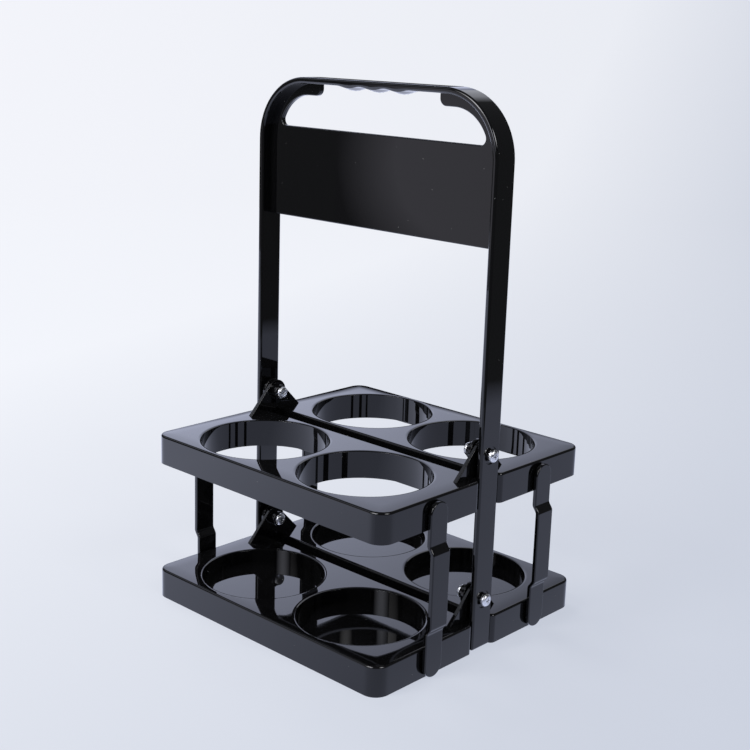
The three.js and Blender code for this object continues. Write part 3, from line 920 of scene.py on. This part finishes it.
def studio_bowl():
    """A floor that curves up all round into a wall."""
    bm = bmesh.new()
    path = start_path(bm, 0, 0, 0)
    line_to(bm, path, BOWL_RADIUS - BOWL_CURVE, 0, 0)
    arc_about(bm, path, (BOWL_RADIUS - BOWL_CURVE, 0, BOWL_CURVE), (0, 1, 0), -90, BEND_STEPS)
    line_to(bm, path, BOWL_RADIUS, 0, BOWL_HEIGHT)
    bmesh.ops.spin(bm, geom=bm.verts[:] + bm.edges[:], cent=(0, 0, 0), axis=(0, 0, 1),
                   angle=2 * math.pi, steps=HOLE_STEPS, use_merge=True)
    bmesh.ops.remove_doubles(bm, verts=bm.verts, dist=NEAR)
    return bm


def white_sheet():
    """The lit part of the floor that shows in the gloss."""
    bm = bmesh.new()
    polygon(bm, [(across, along, -SHEET_BELOW) for across, along in (
        (SHEET_ACROSS[0], SHEET_ALONG[0]),
        (SHEET_ACROSS[1], SHEET_ALONG[0]),
        (SHEET_ACROSS[1], SHEET_ALONG[1]),
        (SHEET_ACROSS[0], SHEET_ALONG[1]),
    )])
    bmesh.ops.rotate(bm, verts=bm.verts, matrix=CAMERA_TURN)
    return bm


def lit_paper(name, shade=0.0):
    """Paper that glows by the distance from a place, and fades away below a height."""
    place, rise, colours = (GLOWS[name][key] for key in ("place", "rise", "colours"))
    material, tree, shader = new_material(f"{name}_paper")
    material.cycles.emission_sampling = "NONE"
    shader.inputs["Base Color"].default_value = (shade, shade, shade, 1)
    shader.inputs["Roughness"].default_value = PAPER_ROUGHNESS
    shader.inputs["Specular IOR Level"].default_value = 0.0
    spot = node(tree, "ShaderNodeTexCoord").outputs["Object"]
    height = node(tree, "ShaderNodeSeparateXYZ")
    tree.links.new(spot, height.inputs["Vector"])
    strength = map_range(tree, height.outputs["Z"], *rise, 0.0, 1.0)
    tree.links.new(strength, shader.inputs["Emission Strength"])
    away = node(tree, "ShaderNodeVectorMath", operation="DISTANCE")
    away.inputs[1].default_value = turned_place(*place)
    tree.links.new(spot, away.inputs[0])
    ramp = node(tree, "ShaderNodeValToRGB")
    near_end, far_end = min(colours), max(colours)
    share = map_range(tree, away.outputs["Value"], near_end, far_end, 0.0, 1.0)
    tree.links.new(share, ramp.inputs["Fac"])
    stops = ramp.color_ramp.elements
    stops[0].color, stops[1].color = colours[near_end], colours[far_end]
    for distance, colour in colours.items():
        if near_end < distance < far_end:
            stops.new((distance - near_end) / (far_end - near_end)).color = colour
    tree.links.new(ramp.outputs["Color"], shader.inputs["Emission Color"])
    return material


def upright_card(place, turn, width, low, high):
    """A glowing card that shows only in the gloss."""
    bm = bmesh.new()
    polygon(bm, [(0, 0, low), (width, 0, low), (width, 0, high), (0, 0, high)])
    bmesh.ops.rotate(bm, verts=bm.verts, matrix=Matrix.Rotation(math.radians(turn), 3, "Z"))
    bmesh.ops.translate(bm, verts=bm.verts, vec=(*place, 0))
    bmesh.ops.rotate(bm, verts=bm.verts, matrix=CAMERA_TURN)
    return bm


def area_light(name, place, target, side, power):
    lamp = bpy.data.lights.new(name, "AREA")
    lamp.shape = "SQUARE"
    lamp.size = side
    lamp.energy = power
    holder = bpy.data.objects.new(name, lamp)
    start, end = turned_place(*place), turned_place(*target)
    holder.location = start
    holder.rotation_euler = (end - start).to_track_quat("-Z", "Y").to_euler()
    holder.visible_glossy = False
    bpy.context.collection.objects.link(holder)


def dim_world():
    world = bpy.data.worlds.new("dim_room")
    world.use_nodes = True
    background = world.node_tree.nodes["Background"]
    background.inputs["Color"].default_value = ROOM_COLOUR
    background.inputs["Strength"].default_value = ROOM_STRENGTH
    bpy.context.scene.world = world


def photo_camera():
    lens = bpy.data.cameras.new("camera")
    lens.sensor_width = CAMERA_SENSOR
    lens.lens = CAMERA_LENS
    lens.shift_x, lens.shift_y = CAMERA_SHIFT
    lens.clip_start = CAMERA_NEAR
    camera = bpy.data.objects.new("camera", lens)
    camera.matrix_world = (Matrix.Translation(CAMERA_PLACE)
                           @ Matrix.Rotation(math.radians(CAMERA_YAW), 4, "Z")
                           @ Matrix.Rotation(math.radians(90 + CAMERA_PITCH), 4, "X")
                           @ Matrix.Rotation(math.radians(CAMERA_ROLL), 4, "Z"))
    bpy.context.collection.objects.link(camera)
    bpy.context.scene.camera = camera


GLOSS_ONLY = {"visible_camera": False, "visible_diffuse": False, "visible_shadow": False}
stage_piece(studio_bowl(), "studio_bowl", lit_paper("floor", FLOOR_SHADE), visible_glossy=False)
stage_piece(white_sheet(), "white_sheet", lit_paper("sheet"), **GLOSS_ONLY)
for card_name, card in CARDS.items():
    stage_piece(upright_card(**card), f"{card_name}_card", lit_paper(card_name), **GLOSS_ONLY)
for light_name, light in LIGHTS.items():
    area_light(light_name, **light)
dim_world()
photo_camera()
bpy.context.scene.view_settings.view_transform = "Standard"
